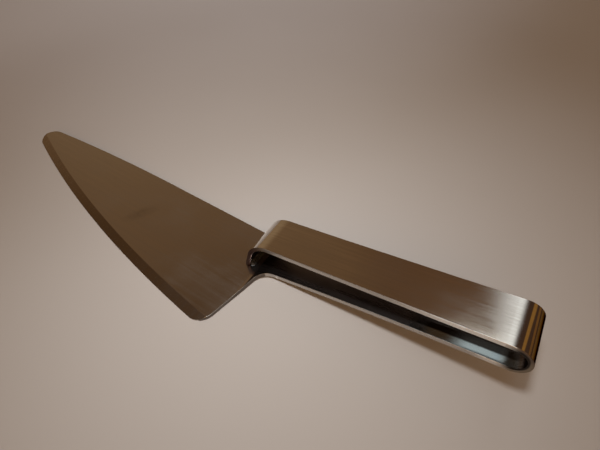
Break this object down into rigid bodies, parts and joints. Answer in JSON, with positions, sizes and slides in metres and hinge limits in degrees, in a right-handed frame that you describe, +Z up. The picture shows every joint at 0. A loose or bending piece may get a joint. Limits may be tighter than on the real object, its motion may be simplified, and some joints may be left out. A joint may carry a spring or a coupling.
{
  "type": "cake knife",
  "caption": "Cake knife and server of steel sheet: flat wedge-shaped blade with a ground curved edge, and a strap handle folded into a long open loop.",
  "frame": {"origin": "middle of the knife's footprint, on the surface that it lies on", "axes": "+X from the blade towards the handle's closed end, +Y towards the spine, +Z up, away from the surface"},
  "size_m": [0.2558, 0.0548, 0.0271],
  "materials": {
    "blade_steel": "fine satin stainless steel, with a brighter ground bevel",
    "strap_steel": "satin stainless steel brushed along the strap",
    "neck_weld_steel": "weld ground flush and brushed with the strap",
    "foot_weld_steel": "cleaned grey weld bead, unpolished"
  },
  "bodies": {
    "root": {"blade": "blade_steel", "handle_strap": "strap_steel", "neck_weld": "neck_weld_steel", "foot_weld": "foot_weld_steel"}
  },
  "joints": []
}
